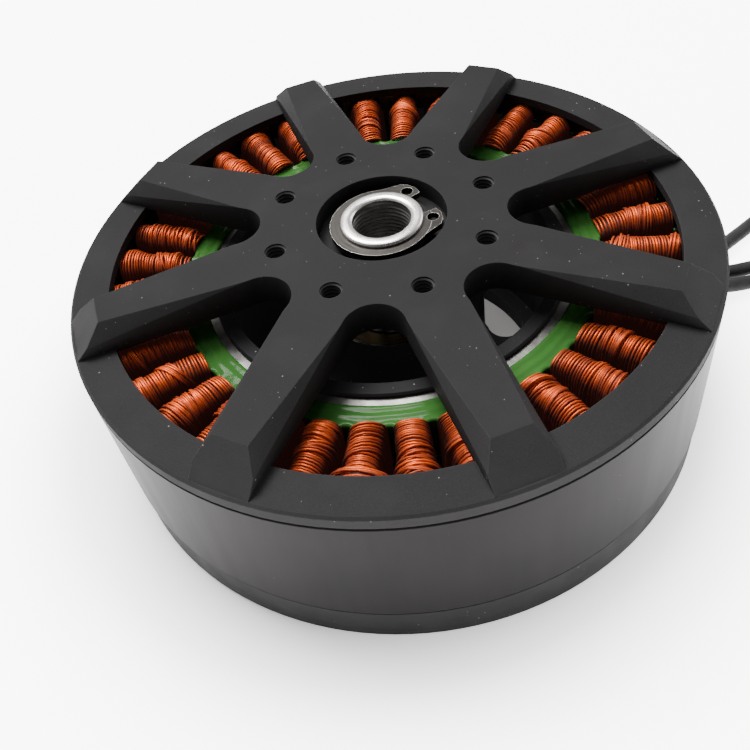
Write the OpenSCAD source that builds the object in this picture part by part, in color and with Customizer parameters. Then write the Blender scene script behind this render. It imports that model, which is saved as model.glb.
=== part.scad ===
/* [Bell] */
// Outside radius of the turning wall
wall_r = 50.0; // [47:0.5:53]
// Height of the flat face the hub and spokes share
hub_z = 36.3; // [35.8:0.1:37.5]
// Height of the flat top of the outer rim
rim_z = 31.8; // [31.6:0.1:32.4]
// Thickness of the rim ring
rim_t = 2.3; // [1.6:0.1:2.4]
// Inside radius of the rim ring, the outer edge of the windows
rim_in_r = 44.0; // [43.6:0.1:44.6]
// Number of spokes, one screw hole on each
spokes = 8; // [6:1:9]
// Half width of a spoke at its foot
spoke_half = 4.5; // [3.6:0.1:5.2]
// Half width of a spoke's top face at its outer end
spoke_top_half = 2.75; // [2:0.05:3.4]
// Distance from the axis to the top of the end bevel
spoke_top_x = 44.6; // [42:0.1:46]
// Distance from the axis to the bottom of the end bevel
spoke_end_x = 49.4; // [48:0.1:49.4]
// Distance from the axis to the rounded inner end of a window
window_in_r = 19.0; // [18.6:0.1:21]
// Thickness of hub plate and spokes
plate_t = 5.0; // [4.6:0.1:5.2]
// Radius of the sunk pocket in the hub
pocket_r = 10.1; // [9.8:0.1:12]
// Depth of the sunk pocket
pocket_d = 3.2; // [2.4:0.1:4]

/* [Hub screws] */
// Diameter of the circle through the hub holes
hub_pcd = 34.0; // [32:0.5:35]
// Radius of each tapped hub hole
hub_hole_r = 1.65; // [1.2:0.05:2.1]

/* [Shaft] */
// Radius of the shaft where the hub sits
shaft_r = 6.5; // [6.4:0.05:6.7]
// Radius of the shaft in the bearings
journal_r = 6.0; // [5.6:0.05:6.1]
// Radius of the tapped bore through the shaft
bore_r = 4.46; // [3.5:0.02:4.6]

/* [Rotor ring] */
// Wall thickness of the steel ring
ring_t = 2.2; // [1.8:0.1:2.3]
// Lowest point of the turning ring
ring_z0 = 7.3; // [7.2:0.1:8.5]
// Number of magnets
magnets_n = 40; // [28:2:42]
// Width of one magnet
magnet_w = 6.4; // [4:0.1:6.5]
// Thickness of one magnet
magnet_t = 2.0; // [1.5:0.1:2.1]
// Height of one magnet
magnet_h = 20.0; // [16:0.5:20.4]

/* [Stator] */
// Number of wound teeth, a multiple of nine
teeth = 36; // [27:9:36]
// Outside radius over the tooth tips
core_r = 45.3; // [44.5:0.1:45.3]
// Inside radius of the steel core
core_in_r = 28.2; // [27.8:0.1:28.6]
// Outside radius of the core's solid ring
yoke_r = 33.2; // [32.5:0.1:33.8]
// Width of one tooth
tooth_w = 2.6; // [1.8:0.1:2.8]
// Height of the core's lower face
core_z0 = 11.6; // [11:0.1:12.5]
// Height of the core's upper face
core_z1 = 27.0; // [25:0.1:27.1]
// Thickness of the green coating
coat_t = 0.3; // [0.2:0.05:0.4]
// Half width of one coil
coil_half = 2.8; // [2.4:0.05:2.85]

/* [Base] */
// Outside radius of the standing base
base_r = 49.8; // [47:0.1:50]
// Height of the base rim
base_rim_z = 6.85; // [6.6:0.05:7]
// Thickness of the base floor
floor_t = 3.0; // [2.4:0.1:3.2]
// Diameter of the circle through the base mounting holes
base_pcd = 72.0; // [68:1:80]
// Radius of each tapped base hole
base_hole_r = 1.65; // [1.2:0.05:2.1]
// Direction of the first floor slot, degrees
slot_az = 13; // [0:1:30]

/* [Leads] */
// Direction in which the three leads leave, degrees
lead_az = -5; // [-20:1:0]
// Outside diameter of one lead
lead_d = 2.6; // [2:0.1:2.7]
// Distance between two leads at the outlet
lead_gap = 3.2; // [3:0.1:3.4]

/* [Hidden] */
$fn = 96;

plate_z = hub_z - plate_t;
ring_z1 = rim_z - rim_t;
step_z = ring_z1 + 0.8;
step_r = wall_r - ring_t - 0.2;
pocket_z = hub_z - pocket_d;
step = 360 / spokes;
end_c = (window_in_r + spoke_half * -1) / (1 - sin(step / 2));
end_r = end_c - window_in_r + 0.05;
root_x = 23;
bend_x = (spoke_top_x + 1.42 * spoke_end_x) / 2.42;
bend_z = hub_z - (hub_z - rim_z) * (bend_x - spoke_top_x) / (spoke_end_x - spoke_top_x);
side_a = [spoke_top_x - root_x, spoke_top_half - spoke_half, 0];
side_b = [bend_x - root_x, 0, bend_z - hub_z];
side_n = cross(side_a, side_b);
side_yaw = atan2(side_a[1], side_a[0]);
side_lean = asin(side_n[2] / norm(side_n));
end_lean = atan2(hub_z - rim_z, spoke_end_x - spoke_top_x);

// heights along the axis
boss_z = 27.8;
flange_z = 25.8;
up_z = 12.8;
low_z = 3.0;
brg_w = 6.0;
brg_r = 12.0;
tube_r = 15.0;
tube_z = 20.3;
shaft_z0 = 0.5;
shaft_z1 = hub_z - 0.1;
clip_t = 1.0;
clip_z = shaft_z1 - 1.8;
collar_r = 7.6;
washer_t = 0.6;

// bearing inside
pitch_r = 9.0;
ball_r = 1.58;
groove_r = 1.64;
inner_r = 7.8;
outer_r = 10.2;
balls_n = 9;

// core
gap_a = 1.1;
tip_t = 0.8;
coil_r0 = yoke_r + 0.3;
coil_r1 = core_r - tip_t - 0.2;
bare_r = 29.5;
sup_in_r = 26.0;
sup_z = 27.8;
seat_r = 29.2;

// outlet
out_z = 4.75;
grom_r = 1.6;
out_x = base_r - 0.3;
out_in = 44.8;

module band(r0, r1, z0, z1) {
  translate([0, 0, z0]) linear_extrude(z1 - z0) difference() { circle(r1); circle(r0); }
}

// ---- bell ----
module window_2d() {
  rotate(step / 2) translate([end_c, 0]) circle(end_r);
  polygon([[end_c * cos(step / 2), spoke_half], [70, spoke_half],
    [70 * cos(step) + spoke_half * sin(step), 70 * sin(step) - spoke_half * cos(step)],
    [end_c * cos(step / 2) * cos(step) + spoke_half * sin(step),
     end_c * cos(step / 2) * sin(step) - spoke_half * cos(step)]]);
}
module spoke_cuts() {
  translate([spoke_top_x, 0, hub_z]) rotate([0, end_lean, 0]) translate([-8, -10, 0]) cube([30, 20, 12]);
  for (m = [0, 1]) mirror([0, m, 0])
    translate([root_x, spoke_half, hub_z]) rotate([0, 0, side_yaw]) rotate([side_lean, 0, 0])
      translate([-0.8, 0, -12]) cube([40, 3.5, 24]);
}
module bell() color([0.2, 0.2, 0.205]) difference() {
  union() {
    difference() {
      translate([0, 0, plate_z]) linear_extrude(plate_t) difference() {
        circle(wall_r - 0.5);
        for (k = [0 : spokes - 1]) rotate(k * step) window_2d();
      }
      for (k = [0 : spokes - 1]) rotate(k * step) spoke_cuts();
    }
    rotate_extrude() polygon([[rim_in_r, step_z], [step_r, step_z], [step_r, ring_z1], [wall_r - 0.2, ring_z1], [wall_r, ring_z1 + 0.2], [wall_r, rim_z - 0.4],
      [wall_r - 0.4, rim_z], [rim_in_r, rim_z]]);
    translate([0, 0, boss_z]) cylinder(r = 11, h = plate_z - boss_z + 1);
  }
  band(collar_r, pocket_r, pocket_z, hub_z + 1);
  translate([0, 0, clip_z]) cylinder(r = collar_r + 0.1, h = 5);
  translate([0, 0, boss_z - 1]) cylinder(r = shaft_r, h = 20);
  for (k = [0 : spokes - 1]) rotate(k * step) translate([hub_pcd / 2, 0, plate_z - 1])
    cylinder(r = hub_hole_r, h = plate_t + 2, $fn = 32);
}
module flux_ring() color([0.25, 0.25, 0.26]) rotate_extrude() polygon([
  [wall_r - ring_t, ring_z0], [wall_r - 0.15, ring_z0], [wall_r, ring_z0 + 0.15],
  [wall_r, ring_z1 - 0.35], [wall_r - 0.35, ring_z1], [wall_r - ring_t, ring_z1]]);
module magnets() color([0.75, 0.75, 0.77]) for (k = [0 : magnets_n - 1]) rotate((k + 0.5) * 360 / magnets_n)
  translate([0, 0, ring_z1 - 0.2 - magnet_h]) linear_extrude(magnet_h) intersection() {
    difference() { circle(wall_r - ring_t); circle(wall_r - ring_t - magnet_t); }
    translate([40, -magnet_w / 2]) square([12, magnet_w]);
  }

// ---- shaft line ----
module shaft() color([0.8, 0.8, 0.8]) rotate_extrude() polygon([
  [bore_r, shaft_z0 + 0.5], [bore_r + 0.5, shaft_z0], [journal_r - 0.4, shaft_z0], [journal_r, shaft_z0 + 0.4],
  [journal_r, low_z - washer_t - clip_t], [journal_r - 0.3, low_z - washer_t - clip_t],
  [journal_r - 0.3, low_z - washer_t], [journal_r, low_z - washer_t],
  [journal_r, flange_z], [8.6, flange_z], [8.6, boss_z], [shaft_r, boss_z],
  [shaft_r, clip_z], [shaft_r - 0.3, clip_z], [shaft_r - 0.3, clip_z + clip_t], [shaft_r, clip_z + clip_t],
  [shaft_r, shaft_z1 - 0.6], [shaft_r - 0.2, shaft_z1 - 0.2], [shaft_r - 0.6, shaft_z1],
  [bore_r + 0.4, shaft_z1], [bore_r, shaft_z1 - 0.4]]);
// open ring for a shaft of radius r: widest opposite its gap, with a holed ear each side of it
module circlip_2d(r) difference() {
  scale([r / 6.5, r / 6.5]) difference() {
    union() {
      translate([-0.22, 0]) circle(7.87);
      for (m = [0, 1]) mirror([0, m]) polygon([[4, 1], [8.2, 1], [8.2, 2.4], [8.4, 3.6], [7.75, 5.3], [6.95, 6.1], [3.2, 6.95], [3, 4]]);
    }
    polygon([[3, -2.0], [10, -2.6], [10, 2.6], [3, 2.0]]);
    for (s = [-1, 1]) rotate(s * 30.2) translate([7.85, 0]) circle(0.93, $fn = 32);
  }
  circle(r - 0.3);
}
module top_circlip() color([0.5, 0.5, 0.5]) translate([0, 0, clip_z]) linear_extrude(clip_t) rotate(9) circlip_2d(shaft_r);
module bottom_circlip() color([0.5, 0.5, 0.5]) translate([0, 0, low_z - washer_t - clip_t]) linear_extrude(clip_t)
  rotate(9) circlip_2d(journal_r);
module upper_spacer() color([0.7, 0.7, 0.7]) band(journal_r, 7.6, up_z + brg_w, flange_z);
module end_washer() color([0.6, 0.6, 0.6]) band(journal_r, 7.6, low_z - washer_t, low_z);

// ---- bearings ----
module inner_race(z) translate([0, 0, z]) difference() {
  band(journal_r, inner_r, 0, brg_w);
  translate([0, 0, brg_w / 2]) rotate_extrude() translate([pitch_r, 0]) circle(groove_r, $fn = 32);
}
module outer_race(z) translate([0, 0, z]) difference() {
  band(outer_r, brg_r, 0, brg_w);
  translate([0, 0, brg_w / 2]) rotate_extrude() translate([pitch_r, 0]) circle(groove_r, $fn = 32);
  for (h = [-1, brg_w - 0.7]) translate([0, 0, h]) cylinder(r = 10.7, h = 1.7);
}
module shields(z) translate([0, 0, z]) {
  band(8.15, 10.7, 0.15, 0.7);
  band(8.15, 10.7, brg_w - 0.7, brg_w - 0.15);
}
module cage(z) translate([0, 0, z + brg_w / 2]) difference() {
  band(8.4, 9.6, -1.85, 1.85);
  for (k = [0 : balls_n - 1]) rotate(k * 360 / balls_n) translate([pitch_r - 2, 0, 0])
    rotate([0, 90, 0]) cylinder(r = ball_r + 0.03, h = 4, $fn = 32);
}
module balls(z) translate([0, 0, z + brg_w / 2])
  for (k = [0 : balls_n - 1]) rotate(k * 360 / balls_n) translate([pitch_r, 0, 0]) sphere(ball_r, $fn = 32);
module upper_inner_race() color([0.75, 0.75, 0.75]) inner_race(up_z);
module lower_inner_race() color([0.75, 0.75, 0.75]) inner_race(low_z);
module upper_outer_race() color([0.75, 0.75, 0.75]) outer_race(up_z);
module lower_outer_race() color([0.75, 0.75, 0.75]) outer_race(low_z);
module upper_shields() color([0.5, 0.42, 0.25]) shields(up_z);
module lower_shields() color([0.5, 0.42, 0.25]) shields(low_z);
module upper_cage() color([0.7, 0.55, 0.3]) cage(up_z);
module lower_cage() color([0.7, 0.55, 0.3]) cage(low_z);
module upper_balls() color([0.8, 0.8, 0.8]) balls(up_z);
module lower_balls() color([0.8, 0.8, 0.8]) balls(low_z);

// ---- stator ----
module tips_2d(r) difference() {
  polygon([[40, -(PI * 40 / teeth - gap_a / 2)], [46, -(PI * 46 / teeth - gap_a / 2)],
    [46, PI * 46 / teeth - gap_a / 2], [40, PI * 40 / teeth - gap_a / 2]]);
  circle(r);
}
module core_2d() {
  difference() { circle(yoke_r); circle(core_in_r); }
  intersection() {
    circle(core_r);
    for (k = [0 : teeth - 1]) rotate(k * 360 / teeth + 5) {
      translate([yoke_r - 0.5, -tooth_w / 2]) square([12.4, tooth_w]);
      tips_2d(core_r - tip_t);
    }
  }
}
module stator_core() color([0.62, 0.62, 0.6]) translate([0, 0, core_z0]) linear_extrude(core_z1 - core_z0) core_2d();
module coat_plate_2d() intersection() {
  circle(core_r - 0.1);
  union() {
    difference() { circle(yoke_r + 0.2); circle(bare_r); }
    for (k = [0 : teeth - 1]) rotate(k * 360 / teeth + 5) {
      translate([yoke_r - 0.5, -tooth_w / 2 - coat_t]) square([12.4, tooth_w + 2 * coat_t]);
      tips_2d(coil_r1 + 0.1);
    }
  }
}
module coating_top() color([0.25, 0.5, 0.2])
  translate([0, 0, core_z1]) linear_extrude(coat_t + 0.1) coat_plate_2d();
module coating_bottom() color([0.25, 0.5, 0.2])
  translate([0, 0, core_z0 - coat_t - 0.1]) linear_extrude(coat_t + 0.1) coat_plate_2d();
// one coil: a rounded loop round its tooth, wound along the radius
module coil() translate([coil_r0, 0, 0]) rotate([90, 0, 90]) linear_extrude(coil_r1 - coil_r0) difference() {
  union() {
    translate([-coil_half, core_z0]) square([2 * coil_half, core_z1 - core_z0]);
    for (z = [core_z0, core_z1]) translate([0, z]) circle(coil_half, $fn = 48);
  }
  translate([-tooth_w / 2 - coat_t, core_z0 - coat_t - 0.1])
    square([tooth_w + 2 * coat_t, core_z1 - core_z0 + 2 * coat_t + 0.2]);
}
module winding(phase) for (g = [0 : teeth / 9 - 1], j = [0 : 2])
  rotate((g * 9 + phase * 3 + j) * 360 / teeth + 5) coil();
module winding_u() color([0.75, 0.33, 0.14]) winding(0);
module winding_v() color([0.75, 0.33, 0.14]) winding(1);
module winding_w() color([0.75, 0.33, 0.14]) winding(2);

// ---- base ----
module floor_slot_2d() {
  intersection() {
    difference() { circle(23.4); circle(17.2); }
    polygon([[0, 0], [40, -40 * tan(13)], [40, 40 * tan(13)]]);
  }
  for (s = [-1, 1]) rotate(s * 13) translate([20.3, 0]) circle(3.16, $fn = 48);
}
module outlet_2d(r) {
  translate([-lead_gap, -r]) square([2 * lead_gap, 2 * r]);
  for (s = [-1, 1]) translate([s * lead_gap, 0]) circle(r, $fn = 32);
}
module base() color([0.15, 0.15, 0.155]) difference() {
  rotate_extrude() polygon([
    [brg_r, 0], [base_r - 0.5, 0], [base_r, 0.5], [base_r, base_rim_z - 0.15], [base_r - 0.15, base_rim_z],
    [45.6, base_rim_z], [45.6, floor_t], [seat_r, floor_t], [seat_r, core_z0], [core_in_r, core_z0],
    [core_in_r, sup_z - 0.3], [core_in_r - 0.3, sup_z], [sup_in_r, sup_z], [sup_in_r, floor_t],
    [tube_r, floor_t], [tube_r, tube_z - 0.5], [tube_r - 0.5, tube_z], [brg_r + 0.3, tube_z],
    [brg_r, tube_z - 0.3], [brg_r, up_z], [10.6, up_z], [10.6, low_z + brg_w], [brg_r, low_z + brg_w]]);
  for (k = [0 : 3]) rotate(slot_az + 90 * k) translate([0, 0, -1]) linear_extrude(floor_t + 2) floor_slot_2d();
  for (k = [0 : 3]) rotate(45 + 90 * k) translate([base_pcd / 2, 0, -1]) cylinder(r = base_hole_r, h = floor_t + 2, $fn = 32);
  rotate(lead_az) translate([44, 0, out_z]) rotate([90, 0, 90]) linear_extrude(10) outlet_2d(grom_r);
}
module outlet_grommet() color([0.08, 0.08, 0.08]) rotate(lead_az) translate([out_in, 0, out_z])
  rotate([90, 0, 90]) linear_extrude(out_x - out_in) outlet_2d(grom_r);

// ---- leads: swept along hand-chosen points, along and across the outlet ----
way_u = [[out_x, 3.2, 4.75], [55, 3.4, 4.3], [62, 5.4, 2.3], [69, 8.6, 1.45], [80, 13.6, 1.35], [95, 20, 1.35], [110, 24, 1.35], [126, 25, 1.35], [140, 24, 1.6], [147, 23.4, 2.0]];
way_v = [[out_x, 0, 4.75], [55, 0, 4.2], [62, 0.2, 2.2], [69, 0.2, 1.45], [80, 0, 1.35], [95, 0.6, 1.35], [110, 3, 1.35], [126, 7, 1.35], [141, 10, 1.6], [149, 11, 2.0]];
way_w = [[out_x, -3.2, 4.75], [55, -3.2, 4.1], [62, -3.2, 2.1], [69, -3.4, 1.45], [80, -4.4, 1.35], [95, -7, 1.35], [110, -10, 1.35], [126, -11, 1.35], [142, -10, 1.6], [150, -9.4, 2.0]];
function cr(p, q, r, s, t) = 0.5 * (2 * q + (r - p) * t + (2 * p - 5 * q + 4 * r - s) * t * t
  + (3 * q - p - 3 * r + s) * t * t * t);
function pt(w, u) = let (n = len(w) - 1, i = min(floor(u), n - 1), t = u - i)
  cr(i > 0 ? w[i - 1] : 2 * w[0] - w[1], w[i], w[i + 1], i + 2 <= n ? w[i + 2] : 2 * w[n] - w[n - 1], t);
function way(w, m) = [for (i = [0 : m]) pt(w, i * (len(w) - 1) / m)];
function unit(v) = v / norm(v);
function tan_at(p, i) = unit(p[min(i + 1, len(p) - 1)] - p[max(i - 1, 0)]);
function ring_at(p, i, r) = let (t = i == 0 ? [1, 0, 0] : tan_at(p, i), a = unit(cross([0, 0, 1], t)), b = cross(t, a))
  [for (k = [0 : 7]) p[i] + r * (cos(45 * k + 22.5) * a + sin(45 * k + 22.5) * b)];
module cord(w, r) {
  p = way(w, 20);
  n = len(p);
  polyhedron(
    points = [for (i = [0 : n - 1], q = ring_at(p, i, r)) q],
    faces = concat([[for (k = [0 : 7]) k]], [[for (k = [7 : -1 : 0]) (n - 1) * 8 + k]],
      [for (i = [0 : n - 2], k = [0 : 7]) [i * 8 + k, i * 8 + 8 + k, i * 8 + 8 + (k + 1) % 8]],
      [for (i = [0 : n - 2], k = [0 : 7]) [i * 8 + k, i * 8 + 8 + (k + 1) % 8, i * 8 + (k + 1) % 8]]));
}
// puts a piece at the far end of a lead, its own +X going on outward
module at_end(w) {
  e = way(w, 20);
  t = tan_at(e, len(e) - 1);
  rotate(lead_az) translate(e[len(e) - 1]) rotate([0, 0, atan2(t[1], t[0])]) rotate([0, 90, 0]) children();
}
module lead_u() color([0.1, 0.1, 0.1]) rotate(lead_az) cord(way_u, lead_d / 2);
module lead_v() color([0.1, 0.1, 0.1]) rotate(lead_az) cord(way_v, lead_d / 2);
module lead_w() color([0.1, 0.1, 0.1]) rotate(lead_az) cord(way_w, lead_d / 2);
module sleeve() translate([0, 0, -0.4]) cylinder(r = 1.9, h = 11.4, $fn = 32);
module plug() translate([0, 0, 11]) rotate_extrude($fn = 32) polygon([[0, 0], [1.75, 0], [1.75, 2], [1.3, 2], [1.3, 3],
  [1.7, 4], [1.7, 10], [1.2, 11.2], [0.7, 12], [0, 12]]);
module sleeve_u() color([0.12, 0.12, 0.12]) at_end(way_u) sleeve();
module sleeve_v() color([0.12, 0.12, 0.12]) at_end(way_v) sleeve();
module sleeve_w() color([0.12, 0.12, 0.12]) at_end(way_w) sleeve();
module plug_u() color([0.85, 0.65, 0.25]) at_end(way_u) plug();
module plug_v() color([0.85, 0.65, 0.25]) at_end(way_v) plug();
module plug_w() color([0.85, 0.65, 0.25]) at_end(way_w) plug();

base();
stator_core();
coating_top();
coating_bottom();
winding_u();
winding_v();
winding_w();
upper_outer_race();
lower_outer_race();
upper_shields();
lower_shields();
outlet_grommet();
lead_u();
lead_v();
lead_w();
sleeve_u();
sleeve_v();
sleeve_w();
plug_u();
plug_v();
plug_w();
bell();
flux_ring();
magnets();
shaft();
top_circlip();
bottom_circlip();
upper_spacer();
end_washer();
upper_inner_race();
lower_inner_race();
upper_cage();
upper_balls();
lower_cage();
lower_balls();
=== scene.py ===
"""Looks for the outrunner motor. Everything is in metres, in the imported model's frame."""
import math
import random

import bpy
import numpy as np
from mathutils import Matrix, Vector


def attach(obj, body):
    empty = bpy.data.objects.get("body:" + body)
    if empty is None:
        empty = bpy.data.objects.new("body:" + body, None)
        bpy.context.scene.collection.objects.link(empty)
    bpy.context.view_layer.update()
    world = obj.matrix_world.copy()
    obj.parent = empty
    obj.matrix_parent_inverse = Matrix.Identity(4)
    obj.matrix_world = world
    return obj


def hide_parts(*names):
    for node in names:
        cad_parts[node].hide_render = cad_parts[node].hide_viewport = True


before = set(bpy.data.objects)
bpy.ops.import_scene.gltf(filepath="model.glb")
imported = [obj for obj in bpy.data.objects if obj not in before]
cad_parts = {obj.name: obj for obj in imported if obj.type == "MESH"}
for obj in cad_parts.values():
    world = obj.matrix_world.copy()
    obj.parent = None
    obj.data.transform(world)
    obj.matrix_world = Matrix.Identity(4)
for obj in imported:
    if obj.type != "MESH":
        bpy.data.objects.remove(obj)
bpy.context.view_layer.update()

MM = 0.001
TAU = 2 * math.pi

# The stator, in mm and degrees.
CORE_LOW, CORE_TOP = 11.6, 27.0
CORE_MID = (CORE_TOP + CORE_LOW) / 2
TEETH = 36
TOOTH_STEP = 10


# ---------------------------------------------------------------- camera, floor, light
def make_camera():
    data = bpy.data.cameras.new("camera")
    data.lens = 41.05
    data.sensor_width = 36.0
    data.shift_x = 0.0328
    data.shift_y = -0.0622
    data.clip_start = 0.005
    data.clip_end = 20
    ob = add_object("camera", data)
    ob.location = (-0.0264, -0.0996, 0.1181)
    ob.rotation_euler = [math.radians(a) for a in (43.96, 8.11, -18.71)]
    bpy.context.scene.camera = ob


def add_object(name, data):
    ob = bpy.data.objects.new(name, data)
    bpy.context.scene.collection.objects.link(ob)
    return ob


def add_light(name, place, size, watts, tint=(1, 1, 1)):
    """A soft rectangle of light that looks at the middle of the motor."""
    data = bpy.data.lights.new(name, "AREA")
    data.shape = "RECTANGLE"
    data.size, data.size_y = size
    data.energy = watts
    data.color = tint
    ob = add_object(name, data)
    ob.location = place
    ob.rotation_mode = "QUATERNION"
    ahead = Vector((0, 0, 0.02)) - Vector(place)
    ob.rotation_quaternion = ahead.to_track_quat("-Z", "Y")


def make_stage():
    """Pale floor, just under the motor and its leads, the room's light and three lamps."""
    mesh = bpy.data.meshes.new("floor")
    reach = 3.0
    z = -0.00002
    corners = [(-reach, -reach, z), (reach, -reach, z), (reach, reach, z), (-reach, reach, z)]
    mesh.from_pydata(corners, [], [(0, 1, 2, 3)])
    ob = add_object("floor", mesh)
    mesh.materials.append(floor_material())
    make_world()
    add_light("overhead", (-0.12, 0.39, 0.77), (0.55, 0.42), 22, (1.0, 0.985, 0.97))
    add_light("top_fill", (0.05, 0.04, 0.95), (0.3, 0.3), 2.4)
    add_light("right_fill", (0.8, 0.25, 0.35), (0.5, 0.4), 2.4)


def floor_material():
    mat, p = start_material("pale_floor", 0.6)
    pale = tone(mat, p, (0.88, 0.88, 0.88), (0.91, 0.91, 0.91), 6.0)
    # Painted shadow: the floor's colour darkens under the motor.
    under = within(mat, (10, 10, 0), [(0.38, grey(1)), (0.46, grey(0))])
    paint(mat, p, mix_over(mat, pale, (0.30, 0.295, 0.29), under))
    p.inputs["Specular IOR Level"].default_value = 0.2
    p.inputs["Emission Color"].default_value = (1.0, 0.985, 0.98, 1)
    floor_glow(mat, p)
    return mat


def floor_glow(mat, p):
    """Bright pale table whose glow falls off softly where the motor stands on it: a painted
    shadow.
    """
    brightest = 6.5
    flat = coords(mat, (10, 10, 0))
    flat.inputs["Location"].default_value = (0.05, -0.01, 0)
    far = node(mat, "ShaderNodeVectorMath", operation="LENGTH")
    link(mat, flat, "Vector", far, "Vector")
    stops = ((0.44, 0.01), (0.51, 0.16), (0.56, 0.30), (0.62, 0.62), (0.68, 0.85), (0.76, 1.0))
    fall = ramp(mat, far, "Value", [(at, grey(v)) for at, v in stops])
    glow = node(mat, "ShaderNodeMath", operation="MULTIPLY")
    glow.inputs[1].default_value = brightest
    link(mat, fall, "Color", glow, 0)
    link(mat, glow, "Value", p, "Emission Strength")


def make_world():
    """Soft room light: bright behind the motor, dim on the camera's side, with a pale horizon."""
    world = bpy.data.worlds.new("studio")
    world.use_nodes = True
    bpy.context.scene.world = world
    tree = world.node_tree
    back = tree.nodes["Background"]
    coord = tree.nodes.new("ShaderNodeTexCoord")
    split = tree.nodes.new("ShaderNodeSeparateXYZ")
    tree.links.new(coord.outputs["Generated"], split.inputs[0])

    def fade(axis, span, light):
        """Goes from the first light to the second as the direction crosses span."""
        n = tree.nodes.new("ShaderNodeMapRange")
        for key, value in zip(("From Min", "From Max", "To Min", "To Max"), (*span, *light)):
            n.inputs[key].default_value = value
        tree.links.new(split.outputs[axis], n.inputs["Value"])
        return n

    brighter = tree.nodes.new("ShaderNodeMath")
    brighter.operation = "MAXIMUM"
    room = fade("Y", (-0.7, 0.9), (0.06, 0.95))
    horizon = fade("Z", (0.10, 0.22), (1.5, 0.0))
    tree.links.new(room.outputs["Result"], brighter.inputs[0])
    tree.links.new(horizon.outputs["Result"], brighter.inputs[1])
    tree.links.new(brighter.outputs[0], back.inputs["Strength"])
    back.inputs["Color"].default_value = (1, 1, 1, 1)


# ---------------------------------------------------------------- material helpers
# Which sockets of a colour Mix node are which.
MIX_UNDER, MIX_OVER, MIX_RESULT = 6, 7, 2


def start_material(name, rough, metal=0.0):
    mat = bpy.data.materials.new(name)
    mat.use_nodes = True
    mat.node_tree.nodes.new("ShaderNodeTexCoord")
    p = mat.node_tree.nodes["Principled BSDF"]
    p.inputs["Roughness"].default_value = rough
    p.inputs["Metallic"].default_value = metal
    return mat, p


def node(mat, kind, **values):
    """A new node; each value is for the input of that name, or else for the setting."""
    n = mat.node_tree.nodes.new(kind)
    for key, value in values.items():
        if key in n.inputs:
            n.inputs[key].default_value = value
        else:
            setattr(n, key, value)
    return n


def link(mat, a, out, b, into):
    mat.node_tree.links.new(a.outputs[out], b.inputs[into])


def coords(mat, scale=(1, 1, 1)):
    """Object coordinates in metres, times scale."""
    tex = next(n for n in mat.node_tree.nodes if n.bl_idname == "ShaderNodeTexCoord")
    m = node(mat, "ShaderNodeMapping")
    m.inputs["Scale"].default_value = scale
    link(mat, tex, "Object", m, "Vector")
    return m


def noise(mat, scale, detail, stretch=(1, 1, 1)):
    n = node(mat, "ShaderNodeTexNoise", Scale=scale, Detail=detail, Roughness=0.55)
    link(mat, coords(mat, stretch), "Vector", n, "Vector")
    return n


def ramp(mat, source, out, stops):
    """Colours for the values of a node's output; stops are (value, colour)."""
    r = node(mat, "ShaderNodeValToRGB")
    e = r.color_ramp.elements
    while len(e) < len(stops):
        e.new(0.5)
    for el, (at, c) in zip(e, stops):
        el.position = at
        el.color = (*c, 1)
    link(mat, source, out, r, "Fac")
    return r


def grey(v):
    return (v, v, v)


def scaled(colour, share):
    return tuple(c * share for c in colour)


def colour_out(n):
    return n.outputs[MIX_RESULT if n.bl_idname == "ShaderNodeMix" else 0]


def paint(mat, p, source):
    mat.node_tree.links.new(colour_out(source), p.inputs["Base Color"])


def tone(mat, p, dark, light, scale):
    """Base colour that drifts between two tones."""
    r = ramp(mat, noise(mat, scale, 4), "Fac", [(0.3, dark), (0.7, light)])
    paint(mat, p, r)
    return r


def mix_over(mat, under, over, mask):
    """over on top of under where mask is white; under and over are nodes or plain colours."""
    m = node(mat, "ShaderNodeMix", data_type="RGBA")
    for socket, what in ((MIX_UNDER, under), (MIX_OVER, over)):
        if isinstance(what, tuple):
            m.inputs[socket].default_value = (*what, 1)
        else:
            mat.node_tree.links.new(colour_out(what), m.inputs[socket])
    mat.node_tree.links.new(mask.outputs[0], m.inputs[0])
    return m


def rough_from(mat, p, source, low, high):
    r = ramp(mat, source, "Fac", [(0.3, grey(low)), (0.7, grey(high))])
    link(mat, r, "Color", p, "Roughness")


def bumps(mat, p, layers, soft_edge=0.0):
    """layers: (height node, its output, depth in metres), each laid over the one before."""
    last = None
    if soft_edge:
        last = node(mat, "ShaderNodeBevel", samples=6)
        last.inputs["Radius"].default_value = soft_edge
    for source, out, depth in layers:
        b = node(mat, "ShaderNodeBump", Strength=1.0, Distance=depth)
        link(mat, source, out, b, "Height")
        if last:
            link(mat, last, "Normal", b, "Normal")
        last = b
    link(mat, last, "Normal", p, "Normal")


def painted_glow(p, colour, strength):
    """Painted light: a faint glow of its own, standing in for what bounces about deep inside the
    stator.
    """
    p.inputs["Emission Color"].default_value = (*colour, 1)
    p.inputs["Emission Strength"].default_value = strength


def both_masks(mat, a, b):
    """White where both masks are."""
    both = node(mat, "ShaderNodeMath", operation="MULTIPLY")
    link(mat, a, 0, both, 0)
    link(mat, b, 0, both, 1)
    return both


def specks(mat, scale, size, keep):
    """Sparse dust dots: one random point in each cell, of which only some are kept."""
    v = node(mat, "ShaderNodeTexVoronoi", Scale=scale)
    link(mat, coords(mat), "Vector", v, "Vector")
    dot = ramp(mat, v, "Distance", [(size * 0.5, grey(1)), (size, grey(0))])
    some = ramp(mat, v, "Color", [(1 - keep, grey(0)), (1 - keep + 0.03, grey(1))])
    return both_masks(mat, dot, some)


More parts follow.
